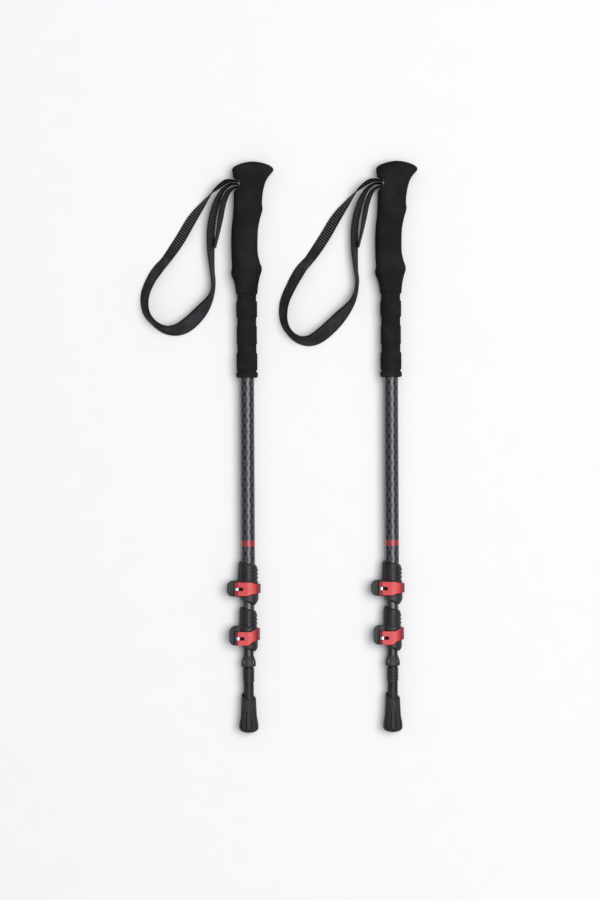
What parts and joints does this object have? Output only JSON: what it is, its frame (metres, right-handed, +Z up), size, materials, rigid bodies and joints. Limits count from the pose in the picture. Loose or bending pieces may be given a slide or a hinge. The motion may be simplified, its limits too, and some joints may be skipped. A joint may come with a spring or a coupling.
{
  "type": "trekking poles",
  "caption": "Pair of telescopic trekking poles with foam grips, wrist straps, red cam-lever clamps and rubber tip boots, collapsed and laid flat.",
  "frame": {"origin": "centre of the box round the two poles without their straps, on the surface they lie on", "axes": "+Y along the poles towards the grips, +X towards the fronts of the grips, +Z up"},
  "size_m": [0.3173, 0.6504, 0.0282],
  "materials": {
    "grip_foam": "matt moulded foam",
    "sleeve_foam": "matt moulded foam",
    "black_plastic": "satin",
    "clamp_plastic": "satin moulded",
    "ferrule_plastic": "satin moulded",
    "steel": "bright",
    "webbing": "ribbed weave",
    "strap_padding": "smooth knit",
    "shaft": "dark lacquer with a crossing-line pattern",
    "inner_tube": "dark anodised",
    "red_lever": "satin",
    "carbide": "sintered",
    "boot_rubber": "matt"
  },
  "bodies": {
    "left_upper": {"left_foam_grip": "grip_foam", "left_foam_sleeve": "sleeve_foam", "left_grip_core": "black_plastic", "left_strap_pin": "steel", "left_strap_wedge": "black_plastic", "left_strap_outer_web": "webbing", "left_strap_pad": "strap_padding", "left_strap_return_web": "webbing", "left_strap_tail": "webbing", "left_upper_tube": "shaft", "left_upper_collar": "clamp_plastic", "left_upper_bolt": "steel"},
    "left_upper_lever": {"left_upper_lever": "red_lever", "left_upper_lever_pin": "steel"},
    "left_upper_nut": {"left_upper_nut": "black_plastic"},
    "left_middle": {"left_middle_tube": "inner_tube", "left_middle_bush": "black_plastic", "left_lower_collar": "clamp_plastic", "left_lower_bolt": "steel"},
    "left_lower_lever": {"left_lower_lever": "red_lever", "left_lower_lever_pin": "steel"},
    "left_lower_nut": {"left_lower_nut": "black_plastic"},
    "left_lower": {"left_lower_tube": "inner_tube", "left_lower_bush": "black_plastic", "left_tip_ferrule": "ferrule_plastic", "left_carbide_tip": "carbide"},
    "left_boot": {"left_rubber_boot": "boot_rubber"},
    "right_upper": {"right_foam_grip": "grip_foam", "right_foam_sleeve": "sleeve_foam", "right_grip_core": "black_plastic", "right_strap_pin": "steel", "right_strap_wedge": "black_plastic", "right_strap_outer_web": "webbing", "right_strap_pad": "strap_padding", "right_strap_return_web": "webbing", "right_strap_tail": "webbing", "right_upper_tube": "shaft", "right_upper_collar": "clamp_plastic", "right_upper_bolt": "steel"},
    "right_upper_lever": {"right_upper_lever": "red_lever", "right_upper_lever_pin": "steel"},
    "right_upper_nut": {"right_upper_nut": "black_plastic"},
    "right_middle": {"right_middle_tube": "inner_tube", "right_middle_bush": "black_plastic", "right_lower_collar": "clamp_plastic", "right_lower_bolt": "steel"},
    "right_lower_lever": {"right_lower_lever": "red_lever", "right_lower_lever_pin": "steel"},
    "right_lower_nut": {"right_lower_nut": "black_plastic"},
    "right_lower": {"right_lower_tube": "inner_tube", "right_lower_bush": "black_plastic", "right_tip_ferrule": "ferrule_plastic", "right_carbide_tip": "carbide"},
    "right_boot": {"right_rubber_boot": "boot_rubber"}
  },
  "joints": [
    {"name": "left_upper_lever_flip", "type": "hinge", "parent": "left_upper", "child": "left_upper_lever", "pos_m": [-0.09825, -0.16115, 0.0235], "axis": [0, -1, 0], "range_deg": [0, 130]},
    {"name": "left_upper_nut_turn", "type": "hinge", "parent": "left_upper", "child": "left_upper_nut", "pos_m": [-0.09825, -0.16115, 0.004], "axis": [0, 0, 1], "continuous": true},
    {"name": "left_middle_slide", "type": "slide", "parent": "left_upper", "child": "left_middle", "axis": [0, -1, 0], "range_m": [0, 0.35]},
    {"name": "left_lower_lever_flip", "type": "hinge", "parent": "left_middle", "child": "left_lower_lever", "pos_m": [-0.09725, -0.21735, 0.0235], "axis": [0, -1, 0], "range_deg": [0, 130]},
    {"name": "left_lower_nut_turn", "type": "hinge", "parent": "left_middle", "child": "left_lower_nut", "pos_m": [-0.09725, -0.21735, 0.004], "axis": [0, 0, 1], "continuous": true},
    {"name": "left_lower_slide", "type": "slide", "parent": "left_middle", "child": "left_lower", "axis": [0, -1, 0], "range_m": [0, 0.35]},
    {"name": "left_boot_pull", "type": "slide", "parent": "left_lower", "child": "left_boot", "axis": [0, -1, 0], "range_m": [0, 0.08]},
    {"name": "right_upper_lever_flip", "type": "hinge", "parent": "right_upper", "child": "right_upper_lever", "pos_m": [0.06575, -0.16115, 0.0235], "axis": [0, -1, 0], "range_deg": [0, 130]},
    {"name": "right_upper_nut_turn", "type": "hinge", "parent": "right_upper", "child": "right_upper_nut", "pos_m": [0.06575, -0.16115, 0.004], "axis": [0, 0, 1], "continuous": true},
    {"name": "right_middle_slide", "type": "slide", "parent": "right_upper", "child": "right_middle", "axis": [0, -1, 0], "range_m": [0, 0.35]},
    {"name": "right_lower_lever_flip", "type": "hinge", "parent": "right_middle", "child": "right_lower_lever", "pos_m": [0.06675, -0.21735, 0.0235], "axis": [0, -1, 0], "range_deg": [0, 130]},
    {"name": "right_lower_nut_turn", "type": "hinge", "parent": "right_middle", "child": "right_lower_nut", "pos_m": [0.06675, -0.21735, 0.004], "axis": [0, 0, 1], "continuous": true},
    {"name": "right_lower_slide", "type": "slide", "parent": "right_middle", "child": "right_lower", "axis": [0, -1, 0], "range_m": [0, 0.35]},
    {"name": "right_boot_pull", "type": "slide", "parent": "right_lower", "child": "right_boot", "axis": [0, -1, 0], "range_m": [0, 0.08]},
    {"name": "right_pole_lift", "type": "slide", "parent": "left_upper", "child": "right_upper", "axis": [0, 0, 1], "range_m": [0, 0.3]}
  ]
}
